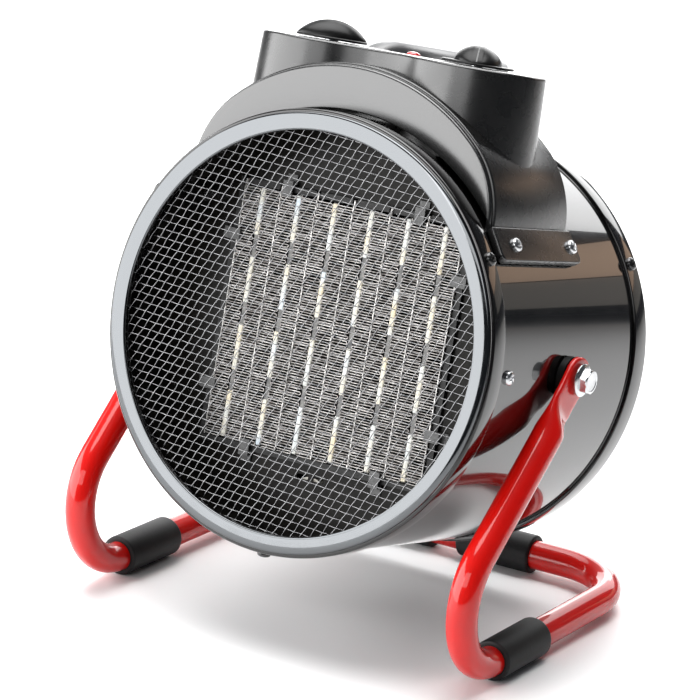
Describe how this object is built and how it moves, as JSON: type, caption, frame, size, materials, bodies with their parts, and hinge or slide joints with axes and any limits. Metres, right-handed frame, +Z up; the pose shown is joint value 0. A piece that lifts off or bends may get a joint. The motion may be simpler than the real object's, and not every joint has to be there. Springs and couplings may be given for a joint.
{
  "type": "ceramic space heater",
  "caption": "Drum fan heater with a ceramic block behind a wire guard, two control knobs, a carry handle and a bent tube stand that it tilts in.",
  "frame": {"origin": "on the floor, midway between the front and the back of the whole heater and on its left-right middle", "axes": "+Z up, the warm air leaves towards -Y, +X along the pivot axis to the heater's right as seen from the front"},
  "size_m": [0.2136, 0.1807, 0.2564],
  "materials": {
    "black_enamel": "gloss",
    "red_paint": "gloss",
    "sleeve_rubber": "matte",
    "chrome_trim": "polished",
    "guard_wire": "bright",
    "grille_paint": "satin",
    "baffle_steel": "satin",
    "frame_plastic": "matte",
    "spring_steel": "satin",
    "fin_aluminium": "satin",
    "chip_ceramic": "matte",
    "electrode_aluminium": "bright",
    "sheet_steel": "satin",
    "fan_aluminium": "satin",
    "motor_steel": "satin",
    "coil_copper": "lacquered",
    "bush_brass": "satin",
    "bracket_aluminium": "cast",
    "housing_plastic": "satin",
    "panel_plastic": "satin",
    "knob_plastic": "satin",
    "spindle_steel": "bright",
    "control_plastic": "matte",
    "lamp_red": "clear",
    "gland_plastic": "matte",
    "bright_screw": "zinc plated",
    "black_screw": "gloss",
    "washer_plastic": "matte"
  },
  "bodies": {
    "stand": {"stand_frame": "red_paint", "front_left_sleeve": "sleeve_rubber", "front_right_sleeve": "sleeve_rubber", "rear_left_sleeve": "sleeve_rubber", "rear_right_sleeve": "sleeve_rubber"},
    "heater": {"drum_shell": "black_enamel", "front_band": "black_enamel", "rear_band": "black_enamel", "front_ring": "chrome_trim", "front_guard": "guard_wire", "rear_grille": "grille_paint", "baffle_plate": "baffle_steel", "block_frame": "frame_plastic", "block_clips": "spring_steel", "fin_columns": "fin_aluminium", "ceramic_chips": "chip_ceramic", "electrode_plates": "electrode_aluminium", "thermal_cutout": "control_plastic", "air_duct": "sheet_steel", "motor_stator": "motor_steel", "motor_coil": "coil_copper", "motor_front_bracket": "bracket_aluminium", "motor_rear_bracket": "bracket_aluminium", "motor_bushes": "bush_brass", "motor_mount": "sheet_steel", "control_housing": "housing_plastic", "saddle_front_cover": "housing_plastic", "control_panel": "panel_plastic", "carry_handle": "housing_plastic", "thermostat_body": "control_plastic", "switch_body": "control_plastic", "lamp_lens": "lamp_red", "lamp_holder": "control_plastic", "terminal_block": "control_plastic", "cable_gland": "gland_plastic", "gland_locknut": "gland_plastic", "pivot_bolts": "bright_screw", "pivot_washers": "washer_plastic", "pivot_nuts": "bright_screw", "shell_screws": "bright_screw", "front_band_screws": "black_screw", "rear_band_screws": "black_screw", "saddle_screws": "bright_screw", "mount_screws": "bright_screw"},
    "fan": {"fan_blades": "fan_aluminium", "motor_shaft": "spindle_steel", "motor_rotor": "motor_steel"},
    "thermostat": {"thermostat_knob": "knob_plastic", "thermostat_spindle": "spindle_steel"},
    "switch": {"switch_knob": "knob_plastic", "switch_spindle": "spindle_steel"}
  },
  "joints": [
    {"name": "tilt", "type": "hinge", "parent": "stand", "child": "heater", "pos_m": [0, -0.00185, 0.1226], "axis": [1, 0, 0], "range_deg": [-78.5, 22]},
    {"name": "fan_spin", "type": "hinge", "parent": "heater", "child": "fan", "pos_m": [0, 0.00824, 0.12055], "axis": [0, 0.9799, -0.1994], "continuous": true},
    {"name": "thermostat_turn", "type": "hinge", "parent": "heater", "child": "thermostat", "pos_m": [-0.0367, 0.00334, 0.24696], "axis": [0, 0.1994, 0.9799], "range_deg": [-180, 90]},
    {"name": "switch_turn", "type": "hinge", "parent": "heater", "child": "switch", "pos_m": [0.0367, 0.00334, 0.24696], "axis": [0, 0.1994, 0.9799], "range_deg": [-90, 45]}
  ]
}
